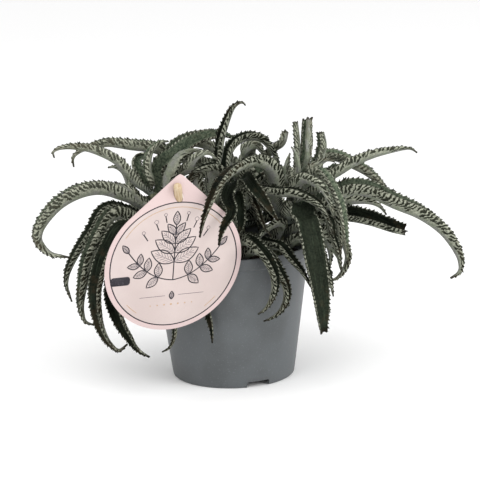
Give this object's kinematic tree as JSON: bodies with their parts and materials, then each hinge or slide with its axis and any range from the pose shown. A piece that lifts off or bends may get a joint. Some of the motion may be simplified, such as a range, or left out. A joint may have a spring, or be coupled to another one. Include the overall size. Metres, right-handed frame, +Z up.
{
  "type": "potted mother of thousands plant",
  "caption": "Mother of thousands: leafy stems of long arching toothed gutter leaves in a tapered plastic nursery pot of soil, with a round card label held on a wooden stake.",
  "frame": {"origin": "centre of the pot's base, on the surface that it stands on", "axes": "+Z up, +X along the plant's widest spread to its right as seen from its front, front of the plant and its label facing -Y"},
  "size_m": [0.3143, 0.2276, 0.2074],
  "materials": {
    "pot_plastic": "moulded grey plastic, satin, faintly bluish",
    "soil": null,
    "leaf": null,
    "card": "uncoated pale pink card with dark printed lines",
    "wood": "bare light dowel"
  },
  "bodies": {
    "root": {"pot": "pot_plastic", "soil": "soil", "leafy_stem_left": "leaf", "leafy_stem_middle": "leaf", "leafy_stem_right": "leaf", "leafy_stem_back": "leaf", "label_card": "card", "label_stake": "wood"}
  },
  "joints": []
}
